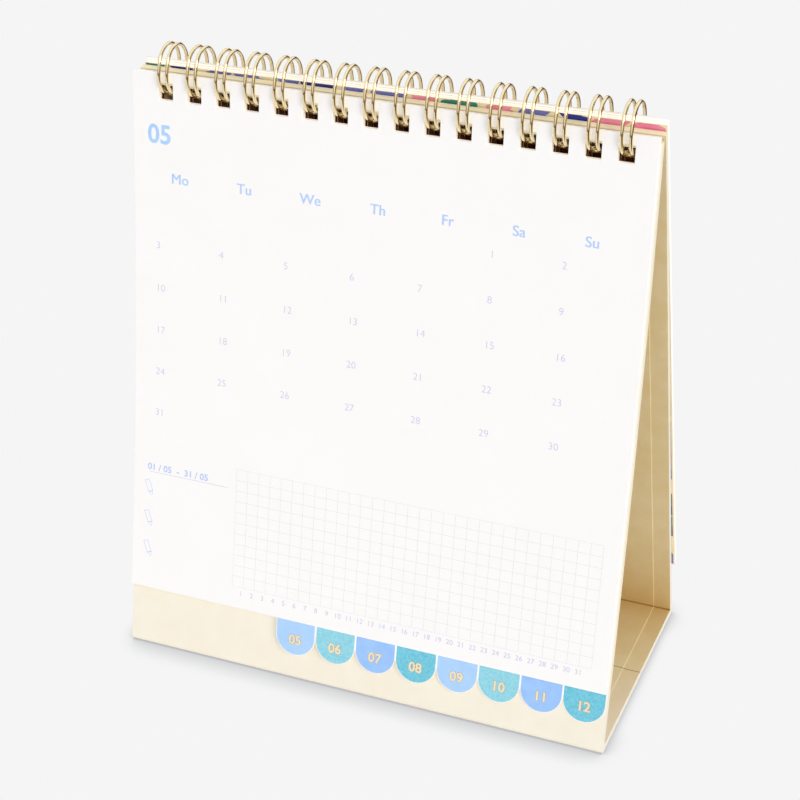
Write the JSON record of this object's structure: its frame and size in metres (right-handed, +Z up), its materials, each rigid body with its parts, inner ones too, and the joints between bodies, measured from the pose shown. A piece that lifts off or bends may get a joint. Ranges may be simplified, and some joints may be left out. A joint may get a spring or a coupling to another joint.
{
  "type": "desk calendar",
  "caption": "Folding card stand of triangular section with loose monthly leaves, each with an index tab, hung on a twin-loop wire along its top.",
  "frame": {"origin": "middle of the stand's footprint, on the surface it stands on", "axes": "+Z up, +X to the right of someone reading the calendar, -Y towards the reader"},
  "size_m": [0.1462, 0.0699, 0.174],
  "materials": {
    "greyboard": "matt",
    "cream_paper": "matt",
    "tan_paper": "matt",
    "gold_wire": "semi-gloss",
    "cover_card": "matt",
    "leaf_card": "matt"
  },
  "bodies": {
    "stand": {"front_board": "greyboard", "back_board": "greyboard", "base_front_board": "greyboard", "base_back_board": "greyboard", "outer_paper": "cream_paper", "lining_paper": "tan_paper", "binding_wire": "gold_wire", "cover_leaf": "cover_card", "leaf_01_january": "leaf_card", "leaf_02_february": "leaf_card", "leaf_03_march": "leaf_card", "leaf_06_june": "leaf_card", "leaf_07_july": "leaf_card", "leaf_08_august": "leaf_card", "leaf_09_september": "leaf_card", "leaf_10_october": "leaf_card", "leaf_11_november": "leaf_card", "leaf_12_december": "leaf_card"},
    "front_leaf": {"leaf_05_may": "leaf_card"},
    "back_leaf": {"leaf_04_april": "leaf_card"}
  },
  "joints": [
    {"name": "front_leaf_turn", "type": "hinge", "parent": "stand", "child": "front_leaf", "pos_m": [0, 0.0003, 0.1658], "axis": [-1, 0, 0], "range_deg": [0, 110]},
    {"name": "back_leaf_turn", "type": "hinge", "parent": "stand", "child": "back_leaf", "pos_m": [0, 0, 0.1676], "axis": [1, 0, 0], "range_deg": [0, 45]}
  ]
}
